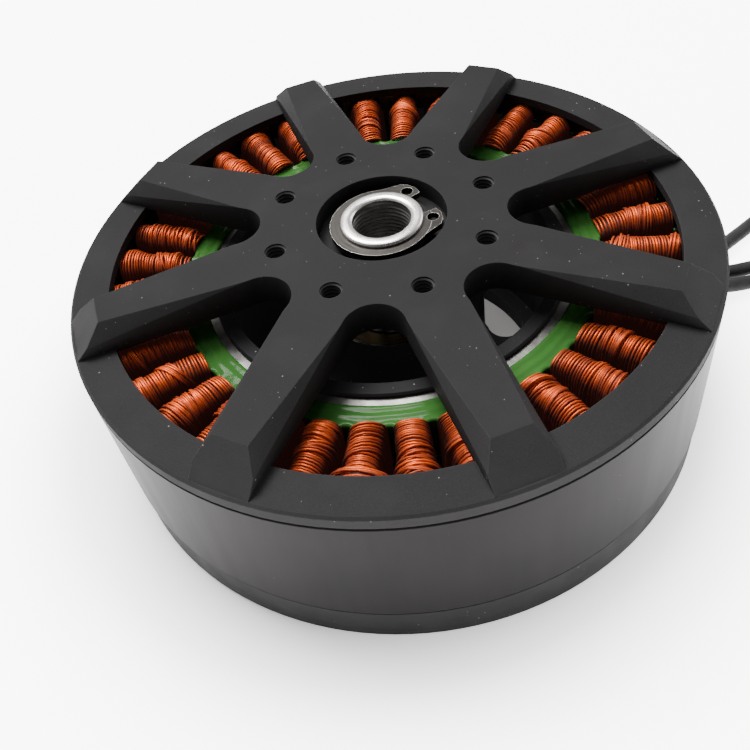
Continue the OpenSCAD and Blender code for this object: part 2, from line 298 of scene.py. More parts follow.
def edges(mat, radius):
    """White along the sharp edges, from how far a rounded normal turns from the flat one."""
    round_off = node(mat, "ShaderNodeBevel", samples=4)
    round_off.inputs["Radius"].default_value = radius
    flat = node(mat, "ShaderNodeNewGeometry")
    dot = node(mat, "ShaderNodeVectorMath", operation="DOT_PRODUCT")
    link(mat, round_off, 0, dot, 0)
    link(mat, flat, "Normal", dot, 1)
    turn = node(mat, "ShaderNodeMath", operation="SUBTRACT")
    turn.inputs[0].default_value = 1.0
    link(mat, dot, "Value", turn, 1)
    return ramp(mat, turn, "Value", [(0.02, grey(0)), (0.2, grey(1))])


def within(mat, scale, stops):
    """White where the distance from the origin lies in the ramp's bright part.

    scale leaves out an axis with 0, and brings the distances into the ramp's 0 to 1.
    """
    far = node(mat, "ShaderNodeVectorMath", operation="LENGTH")
    link(mat, coords(mat, scale), "Vector", far, "Vector")
    return ramp(mat, far, "Value", stops)


# ---------------------------------------------------------------- materials
def painted_rim_shade(mat):
    """White on the inner wall of the bell's rim, which is darkened there as painted shade."""
    stops = [(0.4375, grey(0)), (0.4385, grey(1)), (0.4405, grey(1)), (0.4412, grey(0))]
    wall = within(mat, (10, 10, 0), stops)
    low = within(mat, (0, 0, 10), [(0.3160, grey(1)), (0.3178, grey(0))])
    return both_masks(mat, wall, low)


def anodised(name, dark, light, worn, spec, rough=0.46, inner=False):
    """Satin black anodising: very fine grain, patches, worn edges and a little dust.

    inner is for the bell: it paints shade on the rim's inner wall, and leaves out the painted
    glow.
    """
    mat, p = start_material(name, rough)
    base = ramp(mat, noise(mat, 45, 4), "Fac", [(0.3, dark), (0.7, light)])
    grain = noise(mat, 6500, 2)
    fine = ramp(mat, grain, "Fac", [(0.4, grey(0.0)), (0.75, grey(0.6))])
    body = mix_over(mat, base, scaled(light, 1.35), fine)
    patch = ramp(mat, noise(mat, 130, 2), "Fac", [(0.5, grey(0.0)), (0.7, grey(0.35))])
    body = mix_over(mat, body, scaled(light, 1.25), patch)
    body = mix_over(mat, body, worn, edges(mat, 0.00016))
    for scale, size, keep in ((420, 0.055, 0.8), (900, 0.07, 0.35)):
        body = mix_over(mat, body, (0.16, 0.155, 0.15), specks(mat, scale, size, keep))
    if inner:
        # Painted shade: the rim's inner wall is darkened to near black.
        body = mix_over(mat, body, (0.0045, 0.0045, 0.0055), painted_rim_shade(mat))
    else:
        # A faint painted glow, for the base and the hub threads.
        painted_glow(p, (1.0, 0.85, 0.85), 0.003)
    paint(mat, p, body)
    rough_from(mat, p, noise(mat, 160, 3), rough - 0.05, rough + 0.06)
    p.inputs["Specular IOR Level"].default_value = spec
    bumps(mat, p, [(grain, "Fac", 0.000010)], 0.00018)
    return mat


def ring_finish():
    """Coated steel, faintly drawn along the motor's axis."""
    mat, p = start_material("ring_coat", 0.33)
    streak = noise(mat, 700, 3, (1, 1, 0.04))
    dark, light = (0.0075, 0.0070, 0.0072), (0.0090, 0.0084, 0.0086)
    base = ramp(mat, streak, "Fac", [(0.25, dark), (0.75, light)])
    cloud = ramp(mat, noise(mat, 90, 3), "Fac", [(0.4, grey(0.0)), (0.7, grey(0.5))])
    body = mix_over(mat, base, (0.0115, 0.0100, 0.0103), cloud)
    body = mix_over(mat, body, (0.025, 0.025, 0.025), edges(mat, 0.0001))
    body = mix_over(mat, body, (0.12, 0.12, 0.12), specks(mat, 500, 0.05, 0.5))
    paint(mat, p, body)
    rough_from(mat, p, noise(mat, 500, 3, (1, 1, 0.06)), 0.33, 0.37)
    p.inputs["Specular IOR Level"].default_value = 0.022
    bumps(mat, p, [(streak, "Fac", 0.0000012)], 0.0002)
    return mat


def turned_steel(name, colour, rough=0.28, painted_edge_highlight=None):
    """Bright steel with fine turning marks round the shaft axis and a painted highlight along its
    edges.
    """
    mat, p = start_material(name, rough, 1.0)
    r = ramp(mat, noise(mat, 120, 3), "Fac", [(0.3, scaled(colour, 0.86)), (0.7, colour)])
    painted_edge_highlight = painted_edge_highlight or tuple(min(0.9, c * 2.2 + 0.1) for c in colour)
    paint(mat, p, mix_over(mat, r, painted_edge_highlight, edges(mat, 0.00015)))
    rough_from(mat, p, noise(mat, 300, 3), rough * 0.8, rough * 1.3)
    marks = node(mat, "ShaderNodeTexWave", wave_type="RINGS", rings_direction="Z")
    marks.inputs["Scale"].default_value = 450.0
    marks.inputs["Distortion"].default_value = 0.4
    link(mat, coords(mat), "Vector", marks, "Vector")
    depth = 0.000006
    bumps(mat, p, [(marks, "Fac", depth), (noise(mat, 2500, 2), "Fac", depth)], 0.00012)
    return mat


def laminated_steel():
    """The core's thin sheets, stacked along the axis."""
    mat, p = start_material("core_steel", 0.35, 1.0)
    # A faint painted glow, standing in for light bounced about the stator.
    painted_glow(p, (1.0, 0.92, 0.90), 0.004)
    stops = [(0.3, (0.09, 0.09, 0.085)), (0.7, (0.20, 0.20, 0.19))]
    paint(mat, p, ramp(mat, noise(mat, 350, 4), "Fac", stops))
    rough_from(mat, p, noise(mat, 500, 3), 0.28, 0.45)
    sheets = node(mat, "ShaderNodeTexWave", wave_type="BANDS", bands_direction="Z", Scale=95.0)
    link(mat, coords(mat), "Vector", sheets, "Vector")
    bumps(mat, p, [(sheets, "Fac", 0.00003), (noise(mat, 1800, 2), "Fac", 0.00001)])
    return mat


def green_coat(name, deep=1.0):
    """Thick glossy powder coat that flowed a little before it set; deep below 1 is painted shade.
    """
    mat, p = start_material(name, 0.16)
    dark, light = (0.020, 0.074, 0.014), (0.031, 0.100, 0.020)
    tone(mat, p, scaled(dark, deep), scaled(light, deep), 110)
    rough_from(mat, p, noise(mat, 300, 2), 0.10, 0.17)
    p.inputs["Specular IOR Level"].default_value = 0.06
    bumps(mat, p, [(noise(mat, 420, 2), "Fac", 0.00005)])
    return mat


def copper_wire():
    """Enamelled copper: each turn's shade from the mesh is its tone times painted light and shade.
    """
    mat, p = start_material("enamelled_copper", 0.45, 0.6)
    # A faint painted glow, standing in for light bounced between the coils.
    painted_glow(p, (0.9, 0.26, 0.20), 0.010)
    shade = node(mat, "ShaderNodeAttribute", attribute_name="shade")
    # From dark copper, painted shade, to bright copper, painted light.
    stops = [(0.0, (0.040, 0.013, 0.011)), (0.35, (0.24, 0.042, 0.018)),
             (0.7, (0.44, 0.064, 0.012)), (1.0, (0.66, 0.100, 0.019))]
    dull = ramp(mat, noise(mat, 700, 2), "Fac", [(0.30, grey(0.6)), (0.54, grey(0.0))])
    paint(mat, p, mix_over(mat, ramp(mat, shade, "Fac", stops), (0.16, 0.024, 0.006), dull))
    p.inputs["Specular IOR Level"].default_value = 0.15
    rough_from(mat, p, noise(mat, 1500, 2), 0.40, 0.54)
    bumps(mat, p, [(noise(mat, 2200, 2), "Fac", 0.000003)])
    return mat


def painted_shade_copper():
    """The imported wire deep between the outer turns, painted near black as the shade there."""
    mat, p = start_material("inner_copper", 0.6, 0.4)
    # A faint painted glow, standing in for bounced light.
    painted_glow(p, (0.9, 0.42, 0.36), 0.008)
    tone(mat, p, (0.020, 0.006, 0.004), (0.050, 0.014, 0.008), 900)
    p.inputs["Specular IOR Level"].default_value = 0.2
    bumps(mat, p, [(noise(mat, 2400, 2), "Fac", 0.0001)])
    return mat


def plated(name, colour, rough):
    """Plated or bare metal without turning marks, with a painted highlight along its edges."""
    mat, p = start_material(name, rough, 1.0)
    r = ramp(mat, noise(mat, 400, 3), "Fac", [(0.3, scaled(colour, 0.85)), (0.7, colour)])
    painted_edge_highlight = tuple(min(0.95, c * 1.6 + 0.1) for c in colour)
    paint(mat, p, mix_over(mat, r, painted_edge_highlight, edges(mat, 0.00015)))
    rough_from(mat, p, noise(mat, 900, 3), rough * 0.8, rough * 1.35)
    bumps(mat, p, [(noise(mat, 1500, 2), "Fac", 0.00001)], 0.0001)
    return mat


def rubbery(name, dark, light, spec):
    """Silicone or shrunk tube: a fine skin over slow dents."""
    rough = 0.55
    mat, p = start_material(name, rough)
    tone(mat, p, dark, light, 250)
    p.inputs["Specular IOR Level"].default_value = spec
    rough_from(mat, p, noise(mat, 800, 3), rough - 0.06, rough + 0.08)
    bumps(mat, p, [(noise(mat, 3500, 2), "Fac", 0.00001), (noise(mat, 180, 2), "Fac", 0.00003)])
    return mat


def black_finishes():
    """Dark, light and worn tones of the three anodised looks."""
    bell = (0.0168, 0.0163, 0.0168), (0.0200, 0.0195, 0.0202), (0.042, 0.042, 0.043)
    base = (0.0070, 0.0068, 0.0072), (0.0095, 0.0093, 0.0098), (0.03, 0.03, 0.03)
    thread = (0.034, 0.033, 0.034), (0.046, 0.045, 0.046), (0.07, 0.07, 0.07)
    return {
        # For the bell, inner paints shade on the rim's inner wall.
        "bell": anodised("bell_anodised", *bell, 0.006, 0.5, True),
        "base": anodised("base_anodised", *base, 0.05, 0.5),
        "thread": anodised("hub_thread", *thread, 0.12),
    }


def make_materials():
    return {
        **black_finishes(),
        "ring": ring_finish(),
        "steel": turned_steel("shaft_steel", (0.80, 0.76, 0.74)),
        "bore": plated("bore_dark", (0.21, 0.20, 0.195), 0.5),
        # The clip's edges get a bright painted highlight.
        "clip": turned_steel("clip_steel", (0.034, 0.032, 0.030), 0.38, (0.60, 0.57, 0.54)),
        "race": turned_steel("race_steel", (0.60, 0.60, 0.60), 0.2),
        "shield": turned_steel("shield_steel", (0.45, 0.36, 0.20), 0.3),
        "cage": plated("cage_brass", (0.62, 0.42, 0.18), 0.3),
        "core": laminated_steel(),
        "green": green_coat("green_coat"),
        # The tooth-tip pads get a darkened copy of the coat: painted shade.
        "tip": green_coat("green_coat_shaded_tip", 0.16),
        "wire": copper_wire(),
        "inner": painted_shade_copper(),
        # The magnets' edges carry painted glints.
        "magnet": plated("magnet_nickel", (0.30, 0.30, 0.295), 0.34),
        "gold": plated("gold_plate", (0.90, 0.64, 0.25), 0.2),
        "lead": rubbery("lead_silicone", (0.018, 0.018, 0.019), (0.027, 0.027, 0.028), 0.03),
        "sleeve": rubbery("sleeve_black", (0.010, 0.010, 0.010), (0.018, 0.018, 0.018), 0.08),
    }


# ---------------------------------------------------------------- mesh helpers
def mesh_from(name, verts, faces, mat, shade=None):
    """A smooth-shaded object; faces all have the same number of corners."""
    mesh = bpy.data.meshes.new(name)
    verts, faces = np.asarray(verts, np.float32), np.asarray(faces, np.int32)
    k = faces.shape[1]
    mesh.vertices.add(len(verts))
    mesh.vertices.foreach_set("co", verts.ravel())
    mesh.loops.add(faces.size)
    mesh.loops.foreach_set("vertex_index", faces.ravel())
    mesh.polygons.add(len(faces))
    mesh.polygons.foreach_set("loop_start", np.arange(0, faces.size, k))
    mesh.update(calc_edges=True)
    mesh.polygons.foreach_set("use_smooth", np.full(len(faces), True))
    if shade is not None:
        layer = mesh.attributes.new("shade", "FLOAT", "POINT")
        layer.data.foreach_set("value", np.asarray(shade, np.float32))
    mesh.materials.append(mat)
    mesh.validate()
    return add_object(name, mesh)


def grid_faces(rows, cols, close_rows=False, close_cols=True):
    """Quads over a rows x cols sheet of points."""
    r = np.arange(rows if close_rows else rows - 1)
    c = np.arange(cols if close_cols else cols - 1)
    i, j = np.meshgrid(r, c, indexing="ij")
    i2, j2 = (i + 1) % rows, (j + 1) % cols
    quads = np.stack([i * cols + j, i2 * cols + j, i2 * cols + j2, i * cols + j2], -1)
    return quads.reshape(-1, 4)


def joined(parts):
    """Several (vertices, faces) as one."""
    verts, faces, count = [], [], 0
    for v, f in parts:
        verts.append(v)
        faces.append(f + count)
        count += len(v)
    return np.concatenate(verts), np.concatenate(faces)


def lathe(name, profile, mat, steps, closed, shape):
    """Turns (radius, height) points in mm about Z; shape(r, z, angle) then changes them.

    closed also joins the profile's last point to its first. shape works in metres.
    """
    a = np.linspace(0, TAU, steps, endpoint=False)
    p = np.asarray([(r * MM, z * MM) for r, z in profile], float)
    r, z = p[:, 0][:, None] + 0 * a, p[:, 1][:, None] + 0 * a
    r, z = shape(r, z, a[None, :])
    verts = np.stack([r * np.cos(a), r * np.sin(a), z], -1).reshape(-1, 3)
    return mesh_from(name, verts, grid_faces(len(p), steps, closed), mat)


def sweep(points, radius, sides):
    """A round tube along points: (N, 3) -> vertices and quads, open at both ends."""
    p = np.asarray(points, float)
    t = np.gradient(p, axis=0)
    t /= np.linalg.norm(t, axis=1)[:, None] + 1e-12
    up = np.array([0.0, 0.0, 1.0])
    side = np.cross(t, up)
    weak = np.linalg.norm(side, axis=1) < 1e-4
    side[weak] = [1.0, 0.0, 0.0]
    for i in range(1, len(side)):
        if side[i] @ side[i - 1] < 0:
            side[i] = -side[i]
    side /= np.linalg.norm(side, axis=1)[:, None]
    other = np.cross(t, side)
    a = np.linspace(0, TAU, sides, endpoint=False)[None, :, None]
    ring = np.cos(a) * side[:, None] + np.sin(a) * other[:, None]
    verts = p[:, None] + ring * radius
    return verts.reshape(-1, 3), grid_faces(len(p), sides)


def rounded(points, size):
    """Rounds each inner corner of an open profile of (r, z) points."""
    steps = 3
    pts = [Vector(p) for p in points]
    out = [pts[0]]
    for a, b, c in zip(pts, pts[1:], pts[2:]):
        s = min(size, (a - b).length * 0.45, (c - b).length * 0.45)
        p, q = b + (a - b).normalized() * s, b + (c - b).normalized() * s
        for i in range(steps + 1):
            t = i / steps
            out.append(p.lerp(b, t).lerp(b.lerp(q, t), t))
    return [tuple(v) for v in out + [pts[-1]]]


# ---------------------------------------------------------------- leads
LEAD_D = 2.6
LEAD_STEPS = 36
LEAD_TURN = math.radians(-5)
# The routes of part.scad, in mm, before they are turned to the outlet's direction.
WAYS = {
    "u": [(49.5, 3.2, 4.75), (55, 3.4, 4.3), (62, 5.4, 2.3), (69, 8.6, 1.45), (80, 13.6, 1.35),
          (95, 20, 1.35), (110, 24, 1.35), (126, 25, 1.35), (140, 24, 1.6), (147, 23.4, 2.0)],
    "v": [(49.5, 0, 4.75), (55, 0, 4.2), (62, 0.2, 2.2), (69, 0.2, 1.45), (80, 0, 1.35),
          (95, 0.6, 1.35), (110, 3, 1.35), (126, 7, 1.35), (141, 10, 1.6), (149, 11, 2.0)],
    "w": [(49.5, -3.2, 4.75), (55, -3.2, 4.1), (62, -3.2, 2.1), (69, -3.4, 1.45), (80, -4.4, 1.35),
          (95, -7, 1.35), (110, -10, 1.35), (126, -11, 1.35), (142, -10, 1.6), (150, -9.4, 2.0)],
}


def turned(v):
    """A route's point, turned to the outlet's direction."""
    c, s = math.cos(LEAD_TURN), math.sin(LEAD_TURN)
    return Vector((v.x * c - v.y * s, v.x * s + v.y * c, v.z))


def lead_path(way):
    """One smooth curve through the points of a route, in metres."""
    w = [Vector(p) for p in way]
    w = [2 * w[0] - w[1], *w, 2 * w[-1] - w[-2]]
    out = []
    n = len(way) - 1
    for k in range(LEAD_STEPS + 1):
        u = k * n / LEAD_STEPS
        i = min(int(u), n - 1)
        t = u - i
        p, q, r, s = w[i], w[i + 1], w[i + 2], w[i + 3]
        square = (2 * p - 5 * q + 4 * r - s) * t * t
        cube = (3 * q - p - 3 * r + s) * t ** 3
        v = 0.5 * (2 * q + (r - p) * t + square + cube)
        out.append(turned(v) * MM)
    return out


def lay_on(ob, end, ahead):
    """Turns a piece built along +Z from its origin so that it lies level along ahead, from end."""
    flat = Vector((ahead.x, ahead.y, 0)).normalized()
    turn = flat.to_track_quat("Z", "Y").to_matrix().to_4x4()
    turn.translation = end
    ob.data.transform(turn)


def make_sleeve(name, mats, number):
    """Shrunk sleeve, open at its ends and slightly uneven; number makes each one different."""
    prof = [(1.31, -0.4), (1.75, -0.4), (1.9, 0.6), (1.82, 3.0), (1.86, 7.0), (1.9, 10.6),
            (1.7, 11.0), (1.4, 11.0)]

    def shrink(r, z, a):
        return r * (1 - 0.012 * (1 + np.sin(3 * a + z * 900 + number))), z

    return lathe(name, rounded(prof, 0.3), mats["sleeve"], 40, False, shrink)


def make_plug(name, mats):
    """Bullet plug: collar, neck, and a bowed spring barrel with six slits."""
    prof = [(0.0, 11.0), (1.75, 11.0), (1.75, 12.9), (1.62, 13.05), (1.3, 13.15), (1.28, 13.9),
            (1.5, 14.3), (1.66, 15.2), (1.75, 16.6), (1.75, 18.2), (1.66, 19.8), (1.5, 21.0),
            (1.35, 21.6), (1.0, 22.3), (0.6, 22.8), (0.0, 23.0)]

    def slit(r, z, a):
        inside = (z > 14.2 * MM) & (z < 21.1 * MM)
        cut = np.abs(((a * 6 / TAU) % 1) - 0.5) < 0.09
        return np.where(inside & cut, r - 0.28 * MM, r), z

    fine = []
    for (r0, z0), (r1, z1) in zip(prof, prof[1:]):
        fine += [(r0 + (r1 - r0) * k / 3, z0 + (z1 - z0) * k / 3) for k in range(3)]
    fine.append(prof[-1])
    return lathe(name, fine, mats["gold"], 72, False, slit)


def lead_curve(name, path, mat):
    """The lead itself, as a curve of one open spline."""
    curve = bpy.data.curves.new(name, "CURVE")
    curve.dimensions = "3D"
    curve.bevel_depth = LEAD_D / 2 * MM
    curve.bevel_resolution = 5
    curve.use_fill_caps = True
    line = curve.splines.new("POLY")
    line.points.add(len(path) - 1)
    for pt, at in zip(line.points, path):
        pt.co = (*at, 1)
    line.use_smooth = True
    curve.materials.append(mat)
    return add_object(name, curve)


def make_lead(phase, mats):
    """One lead with the sleeve and plug on its free end."""
    path = lead_path(WAYS[phase])
    end, ahead = path[-1], path[-1] - path[-2]
    lead = lead_curve(f"lead_{phase}_insulation", path, mats["lead"])
    sleeve = make_sleeve(f"sleeve_{phase}_shrunk", mats, "uvw".index(phase))
    plug = make_plug(f"plug_{phase}_bullet", mats)
    lay_on(sleeve, end, ahead)
    lay_on(plug, end, ahead)
    rows = ((sleeve, "sleeve", "black_sleeve"), (plug, "plug", "plug_gold"),
            (lead, "lead", "lead_insulation"))
    for piece, kind, slot in rows:
        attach(piece, "stator")
        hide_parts(f"{kind}_{phase}")


# ---------------------------------------------------------------- windings
# A coil in mm: along the tooth from the green ring (0) to the tooth tip (SPAN), across it, and
# height. Round the tooth one turn is two straight sides and two crowns.
COIL_IN, COIL_OUT = 33.4, 44.5
SPAN = COIL_OUT - COIL_IN
CROWN, STRAIGHT = 8.0, (CORE_TOP - CORE_LOW) / 2
LOOP = 4 * STRAIGHT + 2 * CROWN
WIRE_R = 0.18
WIRE_SIDES = 7
CROWN_STOPS = 9
# No wire goes past these: under the bell's plate, over the base's floor, inside the magnets.
WIRE_TOP, WIRE_LOW, WIRE_OUT = 30.7, 7.9, 44.9
# The coil at the front that bulges next to the rim in the photograph.
FAT_COIL = 24


def loop_point(s, half, crown):
    """(across, height) at s in 0..1 round a coil, counted from the middle of one side."""
    d = (np.asarray(s) % 1.0) * LOOP
    a, b, c = STRAIGHT, STRAIGHT + CROWN, 3 * STRAIGHT + CROWN
    t1, t2 = (d - a) / CROWN * math.pi, (d - c) / CROWN * math.pi
    parts = [d < a, d < b, d < c, d < c + CROWN]
    sides = [half + 0 * d, half * np.cos(t1), -half + 0 * d, -half * np.cos(t2)]
    heights = [CORE_MID + d, CORE_TOP + crown * np.sin(t1), CORE_TOP - (d - b),
               CORE_LOW - crown * np.sin(t2)]
    return np.select(parts, sides, half + 0 * d), np.select(parts, heights, CORE_MID - (LOOP - d))


def turn_stops():
    """Where along one turn the points sit: few on the straight sides, most round the crowns."""
    crown = np.linspace(0, CROWN, CROWN_STOPS)
    far_side = [2 * STRAIGHT + CROWN]
    d = np.concatenate([[0.0], STRAIGHT + crown, far_side, 3 * STRAIGHT + CROWN + crown])
    return d / LOOP


def swell(rng, bulge):
    """How fat a coil is along its length u in 0..1, in mm: a slow drift and a few lumps."""
    base, grow = rng.uniform(-0.12, 0.10), rng.uniform(0.0, 0.3)
    drift, ph = rng.uniform(-0.14, 0.14), rng.uniform(0, TAU)
    lumps = []
    for _ in range(2):
        lumps.append((rng.uniform(0.1, 0.95), rng.uniform(0.10, 0.22), rng.uniform(0.05, 0.30)))
    if bulge or rng.random() < 0.12:
        lumps.append((rng.uniform(0.82, 0.9), 0.17, 1.6 if bulge else rng.uniform(0.5, 0.9)))

    def girth(u):
        g = base + grow * u + drift * np.sin(TAU * 0.8 * u + ph)
        for at, width, height in lumps:
            g = g + height * np.exp(-(((u - at) / width) ** 2))
        return g - 0.12 * np.exp(-(1 - u) / 0.03)

    return girth


def crown_height(u):
    """The coil is low where it starts at the green ring and highest at the tooth tip, in mm."""
    return 2.15 + 0.45 * u - 1.25 * np.exp(-u / 0.11)


def drift_line(rng, n, step):
    """A random walk that stays near zero: what one turn does, the next nearly repeats."""
    out = [rng.gauss(0, step)]
    for _ in range(n - 1):
        out.append(out[-1] * 0.85 + rng.gauss(0, step))
    return np.array(out)


def coil_strand(rng, girth, raised, turns, first, last, wild, slant):
    """Centre line of one winding layer as (along, across, height), and how brightly it is lit."""
    s = (np.arange(turns)[:, None] + turn_stops()[None, :]).ravel()
    k = np.floor(s + 1e-9).astype(int)
    f = s - k
    n = turns + 1
    tilt = drift_line(rng, n, 0.13 * wild)
    tilt = tilt + np.array([rng.gauss(0, 0.05 * wild) for _ in range(n)])
    bow = drift_line(rng, n, 0.06 * wild)
    slide = np.array([rng.gauss(0, 0.05 * wild) for _ in range(n)])
    proud = np.array([abs(rng.gauss(0, 0.06 * wild)) for _ in range(n)])

    def eased(v):
        return v[k] * (1 - f) + v[k + 1] * f

    along = first + (last - first) * (s / turns) + eased(slide)
    along = along + (eased(tilt) + slant) * np.cos(TAU * f)
    along = np.clip(along, 0.2, SPAN - 0.2)
    u = along / SPAN
    spread = (2 * u - 1) ** 3
    over = eased(bow) + np.where(spread > 0, 0.6, 0.45) * spread
    fat = girth(u) + raised + eased(proud)
    top = crown_height(u) + fat - 0.7 * np.maximum(fat - 0.6, 0)
    x, z = loop_point(f, 2.12 + 0.6 * fat + 0.8 * np.maximum(fat - 0.7, 0), top)
    lit = np.clip((np.maximum(z - CORE_TOP, CORE_LOW - z) / top - 0.48) / 0.34, 0, 1)
    z = np.where(z > CORE_MID, np.minimum(z, WIRE_TOP), np.maximum(z, WIRE_LOW))
    return np.stack([along + over * np.abs(np.sin(TAU * f)) ** 2, x, z], -1), lit


def place_coil(points, angle):
    """Coil coordinates in mm to the model frame in metres, kept clear of the bell's rim."""
    r, x, z = np.minimum(COIL_IN + points[:, 0], WIRE_OUT), points[:, 1], points[:, 2]
    z = np.minimum(z, WIRE_TOP - 0.87 * np.clip((np.hypot(r, x) - 43.2) / 0.42, 0, 1))
    c, s = math.cos(angle), math.sin(angle)
    return np.stack([r * c - x * s, r * s + x * c, z], -1) * MM


def inner_body(girth):
    """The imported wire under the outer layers, as a closed sleeve."""
    rows, stops = 14, turn_stops()
    pts = []
    for u in np.linspace(0, 1, rows):
        g = max(float(girth(np.array(u))), -0.2)
        x, z = loop_point(stops, 1.98 + 0.5 * g, crown_height(u) - 0.3 + 0.85 * g)
        pts.append(np.stack([np.full(len(stops), 0.1 + u * (SPAN - 0.2)), x, z], -1))
    return np.concatenate(pts), grid_faces(rows, len(stops))


def coil_layers(rng):
    """(raised, turns, first, last, wild, slant): a full layer, a shorter one and a cross-over."""
    a, b = sorted(rng.uniform(0.4, SPAN - 0.4) for _ in range(2))
    b = max(b, a + 2.5)
    cross = rng.uniform(1.0, SPAN - 2.5)
    lean = rng.choice((-1, 1)) * rng.uniform(0.8, 2.1)
    return [(0.0, 26, 0.2, SPAN - 0.2, 1.0, rng.uniform(-0.45, 0.45)),
            (0.24, 11, a, min(b, SPAN - 0.3), 3.6, rng.uniform(-0.8, 0.8)),
            (0.36, 7, cross, cross + rng.uniform(0.8, 2.4), 3.6, lean)]


def wind_coil(rng, number):
    """One coil: (vertices, faces) of its wire, the wire's shades, and the same of its packing."""
    angle = math.radians(number * TOOTH_STEP + TOOTH_STEP / 2)
    girth = swell(rng, number == FAT_COIL)
    body, quads = inner_body(girth)
    parts, shades = [], []
    for layer in coil_layers(rng):
        turns = layer[1]
        strand, lit = coil_strand(rng, girth, *layer)
        parts.append(sweep(place_coil(strand, angle), WIRE_R * MM, WIRE_SIDES))
        tones = np.repeat([rng.uniform(0.35, 1.0) for _ in range(turns)], len(strand) // turns)
        # Each turn's tone times lit: painted light on the crowns, painted shade down the sides.
        shades.append(np.repeat(tones * lit, WIRE_SIDES))
    return joined(parts), np.concatenate(shades), (place_coil(body, angle), quads)


def make_winding(phase, mats):
    """A phase's twelve coils: four groups of three neighbours."""
    rng = random.Random(41 + phase)
    coils = [wind_coil(rng, g * 9 + phase * 3 + j) for g in range(4) for j in range(3)]
    name = "winding_" + "uvw"[phase]
    shades = np.concatenate([c[1] for c in coils])
    wire = mesh_from(name + "_wire", *joined([c[0] for c in coils]), mats["wire"], shades)
    packing = mesh_from(name + "_packing", *joined([c[2] for c in coils]), mats["inner"])
    for piece in (wire, packing):
        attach(piece, "stator")
        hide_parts(name)


# ---------------------------------------------------------------- green coating
# The ring's inner radius, the radius of its outer edge at a tooth, and of the bight in a slot.
COAT_IN, COAT_OUT, BIGHT = 29.5, 34.75, 1.5
# The skin's section: COAT_INNER is (outward from COAT_IN, height over the core's face), and
# COAT_EDGE is (inward from the outer edge, the same height).
COAT_INNER = ((0.0, 0.02), (0.02, 0.22), (0.12, 0.36), (0.32, 0.46), (0.55, 0.49), (0.8, 0.45),
              (1.05, 0.38), (1.35, 0.37), (1.6, 0.43), (1.9, 0.50), (2.15, 0.49), (2.4, 0.41),
              (2.65, 0.36), (2.9, 0.35))
COAT_EDGE = ((0.75, 0.47), (0.5, 0.50), (0.3, 0.47), (0.12, 0.36), (0.02, 0.18), (0.0, -0.1),
             (0.0, -1.5), (0.0, -7.6))


def coat_sheet(rows, steps_round, face_z, up, close_cols):
    """Skin through rows of (x, y, height over the core's face); up is 1, or -1 underneath."""
    pts = [np.stack([x, y, face_z + up * z], -1) for x, y, z in rows]
    faces = grid_faces(len(rows), steps_round, False, close_cols)
    return np.concatenate(pts), faces if up < 0 else faces[:, ::-1]


def coat_ring(face_z, up):
    """Wavy ring whose outer edge dips into each slot with a round bight."""
    steps = TEETH * 24
    slot_r = 34.0
    a = np.arange(steps) * TAU / steps
    off = np.degrees(a) % TOOTH_STEP
    off = off - TOOTH_STEP * (off > TOOTH_STEP / 2)
    across = np.radians(off) * slot_r
    dip = np.sqrt(np.maximum(BIGHT ** 2 - across ** 2, 0))
    edge = np.where(np.abs(across) < BIGHT, COAT_OUT - dip, COAT_OUT)
    rng = np.random.default_rng(5)

    def wave():
        counts = (5, 9, 14, 23, 37)
        return sum(rng.uniform(0.3, 1) * np.sin(a * n + rng.uniform(0, TAU)) for n in counts) / 2.4

    shift, ripple, swing = wave(), wave(), wave()
    rows = []
    for r, z in COAT_INNER:
        wide = COAT_IN + 0.05 * shift + r + 0.12 * ripple * (r > 0.5) * (r < 2.7)
        rows.append((wide, z + 0.03 * swing))
    for back, z in COAT_EDGE:
        rows.append((edge - back, z + 0.0 * a))
    rows = [(r * np.cos(a), r * np.sin(a), z) for r, z in rows]
    return coat_sheet(rows, steps, face_z, up, True)


def coat_tips(face_z, up):
    """Rounded pads of coating on the ends of the tooth tips."""
    prof = [(44.42, -0.05), (44.42, 0.25), (44.55, 0.42), (44.8, 0.47), (45.05, 0.44),
            (45.2, 0.30), (45.24, -0.05)]
    pad = np.radians([-4.28, -4.26, -4.06, -3.45, -2, 0, 2, 3.45, 4.06, 4.26, 4.28])
    full = np.array([0, 0.5, 0.9, 1, 1, 1, 1, 1, 0.9, 0.5, 0])
    parts = []
    for k in range(TEETH):
        a = pad + math.radians(TOOTH_STEP * k + TOOTH_STEP / 2)
        rows = [(r * np.cos(a), r * np.sin(a), z * full) for r, z in prof]
        parts.append(coat_sheet(rows, len(a), face_z, up, False))
    return joined(parts)


def make_coating(name, face_z, up, mats):
    ring = coat_ring(face_z, up)
    verts, faces = joined([ring, coat_tips(face_z, up)])
    ob = mesh_from(name + "_skin", verts * MM, faces, mats["green"])
    # The pads take the darkened copy of the coat: painted shade.
    ob.data.materials.append(mats["tip"])
    ob.data.polygons.foreach_set("material_index", np.arange(len(faces)) >= len(ring[1]))
    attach(ob, "stator")
    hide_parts(name)


# ---------------------------------------------------------------- shaft and threads
# Heights in mm: the shaft's lower end, its upper end, and the groove of the upper ring.
SHAFT_LOW, SHAFT_TOP, GROOVE = 0.5, 36.2, 34.4
BORE_R, BORE_PITCH = 4.5, 0.75
HUB_HOLES, HUB_R = 8, 17.0


